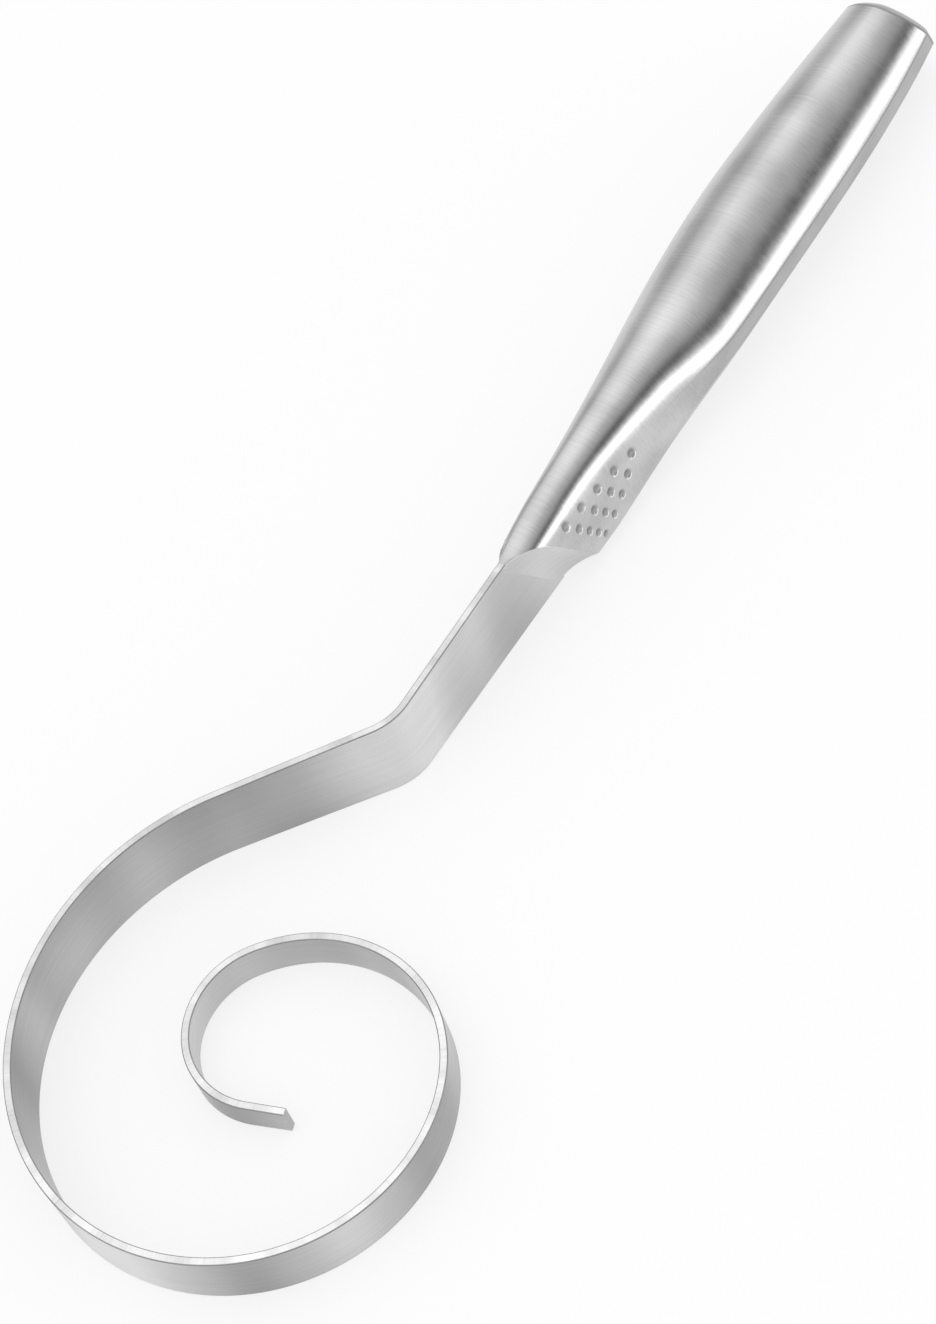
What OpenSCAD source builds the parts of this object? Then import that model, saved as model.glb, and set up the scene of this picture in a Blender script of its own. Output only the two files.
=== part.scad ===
// Dough whisk: a flat steel bar rolled into a scroll, held in a hollow steel handle.
// It lies on its lower edge. X runs from the handle to the scroll, Y towards the side
// that the scroll curls to, and Z up. The origin is on the bar's lower edge, midway
// through its thickness, where the bar leaves the handle.

/* [Blade] */
// Thickness of the flat bar
blade_t = 1.6; // [1.2:0.1:2]
// Width of the bar where it leaves the handle
blade_w = 20.5; // [18:0.1:22]
// Width of the bar at its free tip
tip_w = 6; // [4:0.5:12]
// Edge break along the four long edges of the bar
blade_edge = 0.2; // [0.1:0.05:0.4]
// Straight neck between the handle and the bend
neck_len = 44.6; // [30:0.2:70]
// Radius of the bend, at the middle of the bar
bend_r = 12; // [8:0.5:20]
// Angle of the bend away from the handle's line
bend_angle = 40; // [30:1:50]
// Straight shank between the bend and the scroll
shank_len = 32; // [24:0.5:45]
// Radius of the scroll where it starts
scroll_r = 53.5; // [48:0.5:60]
// Radius of the scroll where it meets the inner loop
scroll_end_r = 31; // [27:0.5:33]
// Angle that the scroll turns through
scroll_turn = 268; // [255:1:275]
// Radius of the inner loop
loop_r = 29; // [26:0.5:32]
// Angle that the inner loop turns through
loop_turn = 92; // [80:1:100]
// Radius of the curl at the free end
curl_r = 16.2; // [13:0.2:18]
// Angle that the curl turns through
curl_turn = 148; // [120:1:160]
// Straight end after the curl
tip_len = 7.5; // [3:0.5:9]

/* [Handle] */
// Length of the handle, from its butt to where the bar leaves it
handle_len = 163.5; // [140:0.5:190]
// Distance from the bar's middle to the handle's outer side, at its widest
belly_out = 17.7; // [15:0.1:20]
// Distance from the bar's middle to the thumb side, at its widest
belly_in = 8.8; // [7:0.1:11]
// Height of the handle at its widest
belly_h = 25; // [23:0.5:28]
// Distance from the butt to the widest place on the outer side
belly_from_butt = 58.5; // [45:0.5:70]
// Distance from the bar's middle to the outer side, at the butt
butt_out = 16.4; // [13:0.2:18]
// Distance from the bar's middle to the thumb side, at the butt
butt_in = 3.8; // [3:0.2:7]
// Height of the handle at the butt
butt_h = 20.5; // [17:0.5:23]
// Distance from the bar's middle to the outer side, at the nose
nose_out = 2.4; // [2.2:0.1:3.5]
// Distance from the bar's middle to the thumb side, at the nose
nose_in = 6; // [5:0.1:7]
// Height of the flat land on the thumb side, behind the thumb rest
land_h = 5; // [4:0.2:7]
// Height of the thumb rest where it reaches the nose
rest_h = 17.6; // [14:0.2:18]
// Length of the thumb rest, from the origin to where it has narrowed to the land
rest_len = 57; // [45:1:65]
// Rounding of the land's edges along the handle
land_edge = 0.5; // [0.3:0.1:1]
// Rounding of the thumb rest's edges at the nose
rest_edge = 3; // [2.4:0.1:4]
// Distance from the origin back to where the handle's section starts to turn into the thumb rest
face_start = 84; // [78:1:88]
// Distance from the origin back to where the thumb rest has its full section
face_full = 15; // [12:1:25]
// Distance from the origin back to where the flat land starts to tilt upwards
tilt_start = 66; // [60:1:72]
// Distance from the origin back to where the tilt is full
tilt_full = 45; // [38:1:50]
// Slope of the tilted face, as a share of the slope of the rounding above it
face_tilt = 0.9; // [0:0.05:0.9]
// Height of the face's upper edge above the middle of the handle, over the thumb rest
face_up = 2.9; // [2:0.1:3.5]
// How far the top stands off the middle towards the outer side, over the thumb rest
crest_out = 2.25; // [0:0.05:2.5]
// How far below the middle the rounding above the face is centred, over the thumb rest
crest_drop = 6; // [3:0.5:8]
// Thickness of the pressed shells
shell_t = 1.2; // [0.8:0.1:1.6]
// Lean of the butt, as forward travel for each millimetre of height
butt_lean = 0.46; // [0:0.02:0.6]
// Thickness of the butt cap outside the shells
cap_t = 3.3; // [2.9:0.1:4.5]
// Radius of the butt cap's rounded rim
rim_r = 5; // [3:0.1:5]

/* [Nose] */
// Distance from the origin back to the shells' front end, at mid height
ridge_back = 5.5; // [4:0.5:8]
// Lean of the shells' front end, as forward travel for each millimetre of height
ridge_lean = 0.78; // [0.5:0.02:0.9]
// Distance from the origin forward to the mouth of the nose block, at mid height
mouth_fwd = 3.6; // [2.6:0.2:6]
// Forward sweep of the shells' front end at its top, over the bar
nose_sweep = 6; // [0:0.5:6.5]
// Lean of the mouth of the nose block
mouth_lean = 0.7; // [0.64:0.02:0.8]
// Metal of the nose block over each face of the bar, at the mouth
lip_t = 0.25; // [0.2:0.05:0.5]
// Width of the tang inside the nose block
tang_w = 9; // [7:0.5:11]
// Length of the tang, from the origin to its end
tang_len = 34; // [28:1:40]
// Solid metal of the nose block behind the tang
block_end = 4; // [3:0.5:8]
// Gap round each joined piece, filled by braze
braze_gap = 0.05; // [0.03:0.01:0.1]

/* [Dimples] */
// Rows of dimples on the thumb rest; each row has one more dimple than the last
dimple_rows = 5; // [3:1:5]
// Distance between the rows, along the handle
row_pitch = 5.8; // [5:0.1:6.5]
// Distance between the first two dimples of a row
dimple_pitch = 4.3; // [4:0.05:4.5]
// Width of the first dimple of a row, at the surface
dimple_w = 2.7; // [1.8:0.1:2.9]
// Depth of one dimple
dimple_d = 0.5; // [0.3:0.05:0.7]

/* [Hidden] */

// Steps along the handle, round the fillet and along the bar
handle_steps = 52;
cap_steps = 5;
fillet_steps = 8;
arc_step = 3.2;
corner_steps = 3;
thumb_steps = 7;
outer_steps = 8;

// Places along the handle, the joints' plug lengths, and the bar's middle height
butt_x = -handle_len;
cap_x = butt_x + cap_t;
belly_x = butt_x + belly_from_butt;
ridge_x = -ridge_back;
rest_flat = 15;
rest_full = 9;
taper_x = 12;
thumb_x = -rest_len - rest_flat;
plug_x = -tang_len - block_end;
cap_plug = 5;
nose_z = blade_w / 2;
fit_inset = shell_t + 2 * braze_gap;
lip_y = blade_t / 2 + lip_t;

// Fullness of the rounding beside the land: behind the thumb rest, over it, and at the mouth
crease_power = 1.5;
face_power = 2.25;
mouth_power = 8;
// Fullness of the outer side's section, and of its outline along the handle
outer_power = 2;
outer_fullness = 0.9;
// Largest shares of the half thickness that edge rounding and the top's shift may take, and the
// smallest rounding
max_round = 0.6;
max_shift = 0.36;
min_round = 0.3;
// Share of the way from the ridge to the mouth at which the bar's full width starts
shoulder = 0.85;
// How late the forward sweep of the shells' front end starts on the way to its top
sweep_power = 6;
// Angle that the butt cap's rounded rim turns through
rim_turn = 65;

function clamp(t) = min(max(t, 0), 1);
function ease(t) = clamp(t) * clamp(t) * (3 - 2 * clamp(t));
function mix(a, b, t) = a + (b - a) * t;

// Outline of the handle at a place x: its two sides, its half height and its middle
function outer_y(x) = x > belly_x
    ? -mix(nose_out, belly_out, pow(sin(90 * clamp(x / belly_x)), outer_fullness))
    : -mix(belly_out, butt_out, pow((belly_x - x) / belly_from_butt, 2));
function thumb_y(x) = x > thumb_x
    ? mix(nose_in, belly_in, ease((-x - rest_flat) / (-thumb_x - rest_flat)))
    : mix(belly_in, butt_in, pow((thumb_x - x) / (thumb_x - butt_x), 3));
function half_h(x) = x > belly_x
    ? mix(nose_z, belly_h / 2, ease((-x - rest_flat) / (-belly_x - rest_flat)))
    : mix(belly_h, butt_h, pow((belly_x - x) / belly_from_butt, 2)) / 2;
function mid_z(x) = x > belly_x ? half_h(x) : belly_h / 2;
function rest_blend(x) = ease((x + rest_len) / (rest_len - ridge_back));
function land(x) = mix(land_h, rest_h, ease((x + rest_len + 1) / (rest_len - rest_full))) / 2;
function edge_r(x) = mix(land_edge, rest_edge, rest_blend(x));
function face_blend(x) = ease((x + face_start) / (face_start - face_full));
function power(x) = mix(crease_power, face_power, face_blend(x));
function face_top(x) = mix(land_h / 2, face_up, face_blend(x)) - 0.8 * land_edge;
function face_share(x) = face_tilt * ease((x + tilt_start) / (tilt_start - tilt_full));
function crest_shift(x) = face_blend(x)
    * min(crest_out, max_shift * (thumb_y(x) - outer_y(x)) / 2);
function lean(x) = ridge_lean * rest_blend(x)
    + butt_lean * ease((belly_x - x) / belly_from_butt);
function sweep(x) = nose_sweep * rest_blend(x);

// A section is [yw, yo, c, h, r, n, m, u, shift, drop, tilt]. yw and yo are its sides, c its half
// height, h the half height of the flat land, r the rounding of the land's edges, n and m the
// fullness over the thumb side and the outer side. u is how far above the middle the land's face
// ends, shift how far the top stands off the middle towards the outer side, drop how far below the
// middle the rounding over the face is centred, and tilt the face's share of that rounding's slope.
function top_y(p) = (p[0] + p[1]) / 2 - p[8];
function low_edge(p) = min(p[3] - 0.8 * p[4], 0.97 * (p[2] - p[4]));
function high_edge(p) = min(p[7], 0.97 * (p[2] - p[4]) - 0.03 * p[9]);
function edge_share(p) = (high_edge(p) + p[9]) / (p[2] - p[4] + p[9]);
function edge_rho(p) = pow(1 - pow(edge_share(p), p[5]), 1 / p[5]);
function edge_slope(p) = pow(edge_share(p) / edge_rho(p), p[5] - 1) / (p[2] - p[4] + p[9]);
function crown_w(p) = (p[0] - top_y(p) - p[4])
    / (edge_rho(p) + p[10] * edge_slope(p) * (high_edge(p) + low_edge(p)));
function face_angle(p) = atan(p[10] * crown_w(p) * edge_slope(p));

// Rounding from the edge of the land to the top of a section, as [y, z] points from the height z0.
// The inner curve ends at the top of the height z0 + cz, and the points lie r outside it.
function crown(yt, b, z0, cz, r, n, k, rho) =
    let (t0 = atan2(pow(k, n / 2), pow(rho, n / 2)))
    [for (i = [1:thumb_steps])
        let (t = mix(t0, 90, i / thumb_steps),
             y = i == thumb_steps ? 0 : pow(cos(t), 2 / n),
             z = pow(sin(t), 2 / n),
             ny = i == thumb_steps ? 0 : pow(y, n - 1) / b,
             nz = pow(z, n - 1) / cz,
             q = r / norm([ny, nz]))
        [yt + b * y + q * ny, z0 + cz * z + q * nz]];
function corner(y, z, r, a0, a1) = [for (i = [0:corner_steps])
    let (a = mix(a0, a1, i / corner_steps)) [y + r * cos(a), z + r * sin(a)]];

// The thumb side of a section from the upper edge of its face to the top
function thumb_high(p) =
    let (yt = top_y(p), r = p[4], n = p[5], b = crown_w(p), k = edge_share(p), rho = edge_rho(p))
    concat(
        corner(yt + b * rho, high_edge(p), r, face_angle(p), atan(b * edge_slope(p))),
        crown(yt, b, -p[9], p[2] - r + p[9], r, n, k, rho));

// The same side below the face, turned over so that it also runs upwards
function thumb_low(p) =
    let (yt = top_y(p), r = p[4], n = p[5], cc = p[2] - r, w = p[0] - yt - r,
         k = low_edge(p) / cc, rho = pow(1 - pow(k, n), 1 / n), b = w / rho)
    concat(
        corner(yt + w, low_edge(p), r, -face_angle(p), atan(b * pow(k / rho, n - 1) / cc)),
        crown(yt, b, 0, cc, r, n, k, rho));

// The outer side of a section from the top to its middle
function outer_half(p) =
    let (yt = top_y(p), r = p[4], m = p[6], w = yt - p[1] - r, cc = p[2] - r)
    [for (i = [0:outer_steps])
        let (s = 90 * i / outer_steps,
             y = i == 0 ? 0 : pow(sin(s), 2 / m),
             z = i == outer_steps ? 0 : pow(cos(s), 2 / m),
             ny = i == 0 ? 0 : -pow(y, m - 1) / w,
             nz = i == outer_steps ? 0 : pow(z, m - 1) / cc,
             q = r / norm([ny, nz]))
        [yt - w * y + q * ny, cc * z + q * nz]];

function backwards(l) = [for (i = [len(l) - 1:-1:0]) l[i]];
function mirrored(l) = [for (p = l) [p[0], -p[1]]];
function tail(l) = [for (i = [1:len(l) - 1]) l[i]];

// Sections that run from the bottom seam to the top seam, over either side
function thumb_arc(p) = concat(backwards(mirrored(thumb_low(p))), thumb_high(p));
function outer_arc(p) = let (a = outer_half(p)) concat(a, tail(backwards(mirrored(a))));

// Sizes of the handle's section at x, drawn in by d all round
function handle_section(x, d) =
    let (yw = thumb_y(x) - d,
         yo = outer_y(x) + d,
         r = max(min(edge_r(x), max_round * (thumb_y(x) - outer_y(x)) / 2) - d, min_round))
    [yw, yo, half_h(x) - d, land(x) - 0.4 * d, r, power(x), outer_power,
        face_top(x) - 0.4 * d, crest_shift(x), crest_drop * face_blend(x), face_share(x)];

// Sizes of the nose block's section at a share q of the way from the ridge to the mouth
function fillet_section(q) =
    let (drop = (1 - q) * (1 - q),
         s = handle_section(ridge_x, 0),
         yw = mix(lip_y, s[0], drop),
         yo = -mix(lip_y, -s[1], drop),
         r = min(mix(s[4], min_round, q), max_round * (yw - yo) / 2))
    [yw, yo, nose_z, mix(s[3], nose_z - min_round, q), r, mix(outer_power, s[5], drop),
        mix(outer_power, mouth_power, q), mix(s[7], nose_z - min_round, q),
        s[8] * drop, s[9] * drop, s[10] * drop];

// A section set at x, leaning forward by k for each millimetre above its middle at height z0,
// with its top swept forward by f
function place(arc, x, k, f, z0, c) = [for (p = arc)
    [x + k * p[1] + f * pow(max(p[1], 0) / c, sweep_power), p[0], z0 + p[1]]];
function handle_place(arc, x) = place(arc, x, lean(x), sweep(x), mid_z(x), half_h(x));
function fillet_place(q) = place(full_ring(fillet_section(q)), mix(ridge_x, mouth_fwd, q),
    mix(ridge_lean, mouth_lean, q), mix(nose_sweep, 0, q), nose_z, nose_z);
function full_ring(p) = let (a = thumb_arc(p), b = outer_arc(p))
    concat(a, [for (i = [1:len(b) - 2]) b[i]]);

function forward(ring) = [for (p = ring) [p[0] + 5 * braze_gap, p[1], p[2]]];
function section_middle(x) = [x, (thumb_y(x) + outer_y(x)) / 2, mid_z(x)];

// Two triangles between points a, b of one ring and c, d of the next
function quad(a, b, c, d) = [[a, c, b], [b, c, d]];
function turned_quad(a, b, c, d) = [[a, c, d], [a, d, b]];
function skin(rings, n) = [for (i = [0:rings - 2], k = [0:n - 1], t =
    quad(i * n + k, i * n + (k + 1) % n, (i + 1) * n + k, (i + 1) * n + (k + 1) % n)) t];

// A closed solid through full rings, closed by a fan at each end
module ringed_solid(rings, start, end) {
    n = len(rings[0]);
    m = len(rings);
    points = concat([for (r = rings, p = r) p], [start, end]);
    faces = concat(
        skin(m, n),
        [for (k = [0:n - 1]) [m * n, k, (k + 1) % n]],
        [for (k = [0:n - 1]) [m * n + 1, (m - 1) * n + (k + 1) % n, (m - 1) * n + k]]);
    polyhedron(points, faces);
}

// A pressed shell: an open channel whose section runs over one side of the handle
module channel(outside, inside) {
    m = len(outside[0]);
    n = 2 * m;
    count = len(outside);
    points = [for (i = [0:count - 1], p = concat(outside[i], backwards(inside[i]))) p];
    first = [for (k = [0:m - 2], t = quad(n - 1 - k, n - 2 - k, k, k + 1)) t];
    last = [for (k = [0:m - 2], t = quad(k, k + 1, n - 1 - k, n - 2 - k)) [
        for (v = t) v + (count - 1) * n]];
    sides = [for (i = [0:count - 2], k = [0:n - 2], t =
        quad(i * n + k, i * n + k + 1, (i + 1) * n + k, (i + 1) * n + k + 1)) t];
    seam = [for (i = [0:count - 2], t =
        turned_quad(i * n + n - 1, i * n, (i + 1) * n + n - 1, (i + 1) * n)) t];
    polyhedron(points, concat(sides, seam, first, last));
}

shell_x = [for (i = [0:handle_steps]) mix(cap_x, ridge_x, i / handle_steps)];

// Dimples in rows that lean with the handle's nose, the first at the top of each row
dimple_rise = 0.68;
dimple_lean = 38;
dimple_top = 5.18;
dimple_margin = 5.2;
// Shares by which the gaps and the widths shrink from each dimple of a row to the next
gap_share = 0.84;
width_share = 0.93;

module dimple(x, up, w) {
    side = [for (p = thumb_arc(handle_section(x, 0))) [p[1], p[0]]];
    a = atan2(lookup(up - w / 4, side) - lookup(up + w / 4, side), w / 2);
    d = dimple_d * w / dimple_w;
    r = (w * w / 4 + d * d) / (2 * d);
    translate([x, lookup(up, side) + (r - d) * cos(a), mid_z(x) + up + (r - d) * sin(a)])
        sphere(r, $fn = 32);
}

module dimples() {
    for (i = [0:dimple_rows - 1]) {
        behind = dimple_rows - 1 - i;
        x = ridge_x + ridge_lean * dimple_top - dimple_margin - behind * row_pitch;
        for (j = [0:i]) {
            run = dimple_pitch * (1 - pow(gap_share, j)) / (1 - gap_share);
            dimple(x - run * sin(dimple_lean),
                dimple_top - behind * dimple_rise - run * cos(dimple_lean),
                dimple_w * pow(width_share, j));
        }
    }
}

// Moves along the bar's middle line, each as [length, turn], from the shoulder to the tip
rad = PI / 180;
shoulder_x = mix(ridge_x, mouth_fwd, shoulder);
shoulder_lean = mix(ridge_lean, mouth_lean, shoulder);
bend_steps = 9;
scroll_steps = ceil(scroll_turn / arc_step);
loop_steps = ceil(loop_turn / arc_step);
curl_steps = ceil(curl_turn / arc_step);
function turns(r0, r1, angle, n) = [for (i = [1:n])
    [mix(r0, r1, (i - 0.5) / n) * abs(angle) / n * rad, angle / n]];
moves = concat(
    [[taper_x - shoulder_x, 0], [neck_len - taper_x, 0]],
    turns(bend_r, bend_r, -bend_angle, bend_steps),
    [[shank_len, 0]],
    turns(scroll_r, scroll_end_r, scroll_turn, scroll_steps),
    turns(loop_r, loop_r, loop_turn, loop_steps),
    turns(curl_r, curl_r, curl_turn, curl_steps),
    [[tip_len, 0]]);

// One move on from a place p = [x, y, heading, length so far]
function move(p, m) = let (a = p[2] + m[1] / 2,
    chord = m[1] == 0 ? m[0] : m[0] * sin(m[1] / 2) / (m[1] / 2 * rad))
    [p[0] + chord * cos(a), p[1] + chord * sin(a), p[2] + m[1], p[3] + m[0]];
path = [for (i = 0, p = [shoulder_x, 0, 0, shoulder_x]; i <= len(moves);
    p = i < len(moves) ? move(p, moves[i]) : p, i = i + 1) p];
path_end = path[len(path) - 1][3];
function bar_w(s) = s <= taper_x ? blade_w : mix(blade_w, tip_w, (s - taper_x) / (path_end - taper_x));

// Section of the bar as [y, z] points, with its edges broken
function bar_section(w) = let (t = blade_t / 2, e = blade_edge)
    [[t - e, 0], [t, e], [t, w - e], [t - e, w], [e - t, w], [-t, w - e], [-t, e], [e - t, 0]];
function bar_ring(p, k) = [for (q = bar_section(bar_w(p[3])))
    [p[0] - q[0] * sin(p[2]) + k * (q[1] - nose_z), p[1] + q[0] * cos(p[2]), q[1]]];
function middle(ring) = [for (c = [0:2]) (ring[0][c] + ring[3][c] + ring[4][c] + ring[7][c]) / 4];

module scroll_blade() {
    rings = [for (i = [0:len(path) - 1]) bar_ring(path[i], i == 0 ? shoulder_lean : 0)];
    color("lightsteelblue") union() {
        ringed_solid(rings, middle(rings[0]), middle(rings[len(rings) - 1]));
        translate([-tang_len, -blade_t / 2, nose_z - tang_w / 2])
            cube([tang_len + shoulder_x + tang_w, blade_t, tang_w]);
    }
}

// Space for the bar in the nose block: the tang's slot and the open slot for the full width
module bar_space() {
    t = blade_t / 2 + braze_gap;
    h = nose_z + 1;
    back = shoulder_x - braze_gap;
    translate([-tang_len - braze_gap, -t, nose_z - tang_w / 2 - braze_gap])
        cube([tang_len + shoulder_x + tang_w, 2 * t, tang_w + 2 * braze_gap]);
    translate([0, t, nose_z]) rotate([90, 0, 0]) linear_extrude(2 * t) polygon([
        [back - shoulder_lean * h, -h],
        [back + 30, -h],
        [back + 30, h],
        [back + shoulder_lean * h, h]]);
}

module nose_block() {
    plug = concat([plug_x], [for (x = shell_x) if (x > plug_x + 1 && x < ridge_x - 0.1) x]);
    rings = concat(
        [for (x = plug) handle_place(full_ring(handle_section(x, fit_inset)), x)],
        [for (d = [fit_inset, 0]) forward(handle_place(full_ring(handle_section(ridge_x, d)), ridge_x))],
        [for (i = [1:fillet_steps]) fillet_place(1 - cos(90 * i / fillet_steps))]);
    color("gainsboro") difference() {
        ringed_solid(rings, section_middle(plug_x), [mouth_fwd, 0, nose_z]);
        bar_space();
    }
}

module thumb_shell() {
    color("silver") difference() {
        channel(
            [for (x = shell_x) handle_place(thumb_arc(handle_section(x, 0)), x)],
            [for (x = shell_x) handle_place(thumb_arc(handle_section(x, shell_t)), x)]);
        dimples();
    }
}

module outer_shell() {
    color("silver") channel(
        [for (x = shell_x) handle_place(outer_arc(handle_section(x, 0)), x)],
        [for (x = shell_x) handle_place(outer_arc(handle_section(x, shell_t)), x)]);
}

module butt_cap() {
    rim = [for (i = [0:cap_steps]) let (a = rim_turn * i / cap_steps)
        [butt_x + rim_r * (1 - cos(a)), rim_r * (sin(rim_turn) - sin(a))]];
    stations = concat(rim, [[cap_x, 0], [cap_x, fit_inset], [cap_x + cap_plug, fit_inset]]);
    color("silver") ringed_solid(
        [for (s = stations) handle_place(full_ring(handle_section(s[0], s[1])), s[0])],
        section_middle(butt_x),
        section_middle(cap_x + cap_plug));
}

scroll_blade();
nose_block();
thumb_shell();
outer_shell();
butt_cap();
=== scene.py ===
"""A dough whisk: a flat steel bar rolled into a scroll, in a hollow pressed steel handle."""

import math
from collections import namedtuple

import bpy
import numpy as np
from mathutils import Matrix, Vector


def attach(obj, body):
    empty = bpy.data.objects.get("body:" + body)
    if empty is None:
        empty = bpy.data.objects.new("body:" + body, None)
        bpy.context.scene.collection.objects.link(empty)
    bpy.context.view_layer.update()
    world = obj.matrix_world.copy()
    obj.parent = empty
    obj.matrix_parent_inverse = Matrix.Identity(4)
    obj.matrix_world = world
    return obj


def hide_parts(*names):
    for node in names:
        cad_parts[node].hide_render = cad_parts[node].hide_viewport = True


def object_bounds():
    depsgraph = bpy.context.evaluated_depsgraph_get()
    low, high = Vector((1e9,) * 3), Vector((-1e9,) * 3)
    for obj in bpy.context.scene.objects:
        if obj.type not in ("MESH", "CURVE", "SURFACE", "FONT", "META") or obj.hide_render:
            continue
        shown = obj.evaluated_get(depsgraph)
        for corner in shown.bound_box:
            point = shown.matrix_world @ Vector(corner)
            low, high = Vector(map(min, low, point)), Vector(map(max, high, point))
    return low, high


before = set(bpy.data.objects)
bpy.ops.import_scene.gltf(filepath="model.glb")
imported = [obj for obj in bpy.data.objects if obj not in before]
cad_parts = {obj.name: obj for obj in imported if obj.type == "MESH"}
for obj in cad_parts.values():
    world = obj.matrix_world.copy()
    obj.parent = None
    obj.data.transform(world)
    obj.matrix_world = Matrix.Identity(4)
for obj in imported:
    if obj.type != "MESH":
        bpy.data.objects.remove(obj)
cad_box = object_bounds()
MM = 0.001

# Driving sizes in millimetres and degrees, as the solids have them apart from LIP_T.
# The bar, from the handle to its free tip
BAR_T = 1.6
BAR_W = 20.5
TIP_W = 6.0
BAR_EDGE = 0.2
NECK_LEN = 44.6
BEND_R = 12.0
BEND_ANGLE = 40.0
SHANK_LEN = 32.0
SCROLL_R = 53.5
SCROLL_END_R = 31.0
SCROLL_TURN = 268.0
LOOP_R = 29.0
LOOP_TURN = 92.0
CURL_R = 16.2
CURL_TURN = 148.0
TIP_LEN = 7.5
TAPER_X = 12.0

# The handle's outlines, its flat land and the thumb rest
HANDLE_LEN = 163.5
BELLY_OUT = 17.7
BELLY_IN = 8.8
BELLY_H = 25.0
BELLY_FROM_BUTT = 58.5
BUTT_OUT = 16.4
BUTT_IN = 3.8
BUTT_H = 20.5
NOSE_OUT = 2.4
NOSE_IN = 6.0
OUTER_FULLNESS = 0.9
LAND_H = 5.0
LAND_EDGE = 0.5
REST_H = 17.6
REST_LEN = 57.0
REST_FLAT = 15.0
REST_FULL = 9.0
REST_EDGE = 3.0
REST_LEAD = 1.0
SHELL_T = 1.2

# The handle's sections: where they change, how far, and their limits as shares
FACE_START = 84.0
FACE_FULL = 15.0
FACE_UP = 2.9
TILT_START = 66.0
TILT_FULL = 45.0
FACE_TILT = 0.9
CREST_OUT = 2.25
CREST_DROP = 6.0
CREASE_POWER = 1.5
FACE_POWER = 2.25
OUTER_POWER = 2.0
MIN_ROUND = 0.3
MAX_ROUND = 0.6
MAX_SHIFT = 0.36
EDGE_REACH = 0.8
FACE_INSET = 0.4
FACE_LIMIT = 0.97

# The butt and the nose
BUTT_LEAN = 0.46
CAP_T = 3.3
RIM_R = 5.0
RIM_TURN = 65.0
RIDGE_BACK = 5.5
RIDGE_LEAN = 0.78
MOUTH_FWD = 3.6
MOUTH_LEAN = 0.7
MOUTH_POWER = 8.0
NOSE_SWEEP = 6.0
SWEEP_POWER = 6.0
SHOULDER = 0.85
# Much thinner than the solid's lip, because the photo shows no step where the nose meets the bar
LIP_T = 0.03

# The dimples of the thumb rest
DIMPLE_ROWS = 5
ROW_PITCH = 5.8
DIMPLE_PITCH = 4.3
DIMPLE_W = 2.7
DIMPLE_D = 0.5
DIMPLE_POWER = 1.3
DIMPLE_RISE = 0.68
DIMPLE_LEAN = 38.0
DIMPLE_TOP = 5.18
DIMPLE_MARGIN = 5.2
GAP_SHARE = 0.84
WIDTH_SHARE = 0.93

# The skins lie this little inside the true surfaces, to stay within the faceted solids' box
SKIN_IN = 0.005
BAR_IN = 0.022

BUTT_X = -HANDLE_LEN
CAP_X = BUTT_X + CAP_T
BELLY_X = BUTT_X + BELLY_FROM_BUTT
RIDGE_X = -RIDGE_BACK
THUMB_X = -REST_LEN - REST_FLAT
NOSE_Z = BAR_W / 2
LIP_Y = BAR_T / 2 + LIP_T


def clamp(t):
    return min(max(t, 0.0), 1.0)


def ease(t):
    t = clamp(t)
    return t * t * (3 - 2 * t)


def mix(a, b, t):
    return a + (b - a) * t


def outer_y(x):
    """The handle's outer side at x."""
    if x > BELLY_X:
        share = math.sin(math.pi / 2 * clamp(x / BELLY_X)) ** OUTER_FULLNESS
        return -mix(NOSE_OUT, BELLY_OUT, share)
    return -mix(BELLY_OUT, BUTT_OUT, ((BELLY_X - x) / BELLY_FROM_BUTT) ** 2)


def thumb_y(x):
    """The handle's thumb side at x."""
    if x > THUMB_X:
        return mix(NOSE_IN, BELLY_IN, ease((-x - REST_FLAT) / (-THUMB_X - REST_FLAT)))
    return mix(BELLY_IN, BUTT_IN, ((THUMB_X - x) / (THUMB_X - BUTT_X)) ** 3)


def half_h(x):
    """Half of the handle's height at x."""
    if x > BELLY_X:
        return mix(NOSE_Z, BELLY_H / 2, ease((-x - REST_FLAT) / (-BELLY_X - REST_FLAT)))
    return mix(BELLY_H, BUTT_H, ((BELLY_X - x) / BELLY_FROM_BUTT) ** 2) / 2


def mid_z(x):
    """Height of the section's middle at x. Behind the belly the lower side rises a little."""
    return half_h(x) if x > BELLY_X else BELLY_H / 2


def rest_blend(x):
    return ease((x + REST_LEN) / (REST_LEN - RIDGE_BACK))


def land(x):
    """Half height of the flat land at x."""
    return mix(LAND_H, REST_H, ease((x + REST_LEN + REST_LEAD) / (REST_LEN - REST_FULL))) / 2


def edge_r(x):
    return mix(LAND_EDGE, REST_EDGE, rest_blend(x))


def face_blend(x):
    return ease((x + FACE_START) / (FACE_START - FACE_FULL))


def face_share(x):
    """How much of the slope of the rounding above it the face takes at x."""
    return FACE_TILT * ease((x + TILT_START) / (TILT_START - TILT_FULL))


def crest_shift(x):
    return face_blend(x) * min(CREST_OUT, MAX_SHIFT * (thumb_y(x) - outer_y(x)) / 2)


def lean(x):
    return RIDGE_LEAN * rest_blend(x) + BUTT_LEAN * ease((BELLY_X - x) / BELLY_FROM_BUTT)


# A section: y of the thumb side and of the outer side, half its height, how far the flat face
# reaches below and above the middle, the radius of the face's edges, the powers of the curves
# over either side, and how far the top is shifted out, the rounding dropped and the face tilted
Section = namedtuple("Section", "thumb outer half low high r power outer_power shift drop tilt")


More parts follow.
